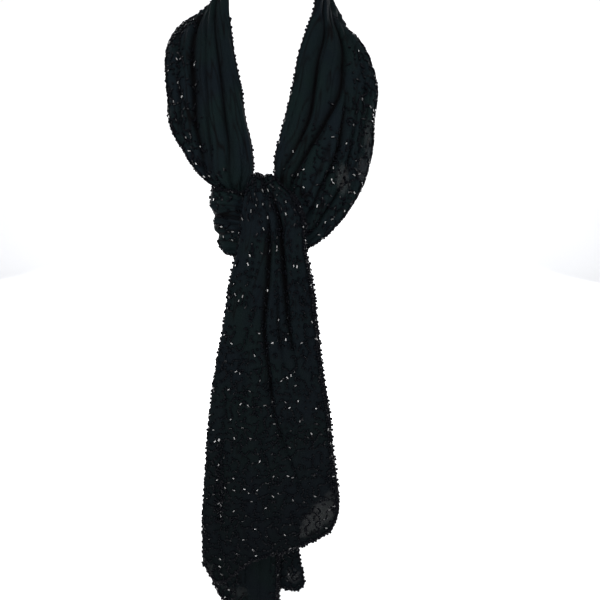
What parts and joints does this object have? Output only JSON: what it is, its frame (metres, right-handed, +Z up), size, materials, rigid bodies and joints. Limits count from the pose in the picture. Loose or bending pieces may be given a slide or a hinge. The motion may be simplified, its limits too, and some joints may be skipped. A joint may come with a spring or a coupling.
{
  "type": "beaded shawl",
  "caption": "Long black beaded chiffon shawl worn round the neck and tied once, with gathered bands, a wrapped knot and two hanging tails.",
  "frame": {"origin": "the middle of the neck opening, at the height where the shawl rests on the shoulders beside the neck", "axes": "+Z up; the tails hang in front, towards -Y; +X is the wearer's left"},
  "size_m": [0.2378, 0.2458, 0.83],
  "materials": {
    "plain_chiffon": "soft matt crepe, slightly sheer",
    "beaded_chiffon": "soft matt crepe under close beading",
    "black_glass_beads": "polished black glass"
  },
  "bodies": {
    "root": {"nape_stretch": "plain_chiffon", "wearer_right_band": "beaded_chiffon", "wearer_left_band": "beaded_chiffon", "knot_wrap": "beaded_chiffon", "front_tail": "beaded_chiffon", "back_tail": "beaded_chiffon"}
  },
  "joints": []
}
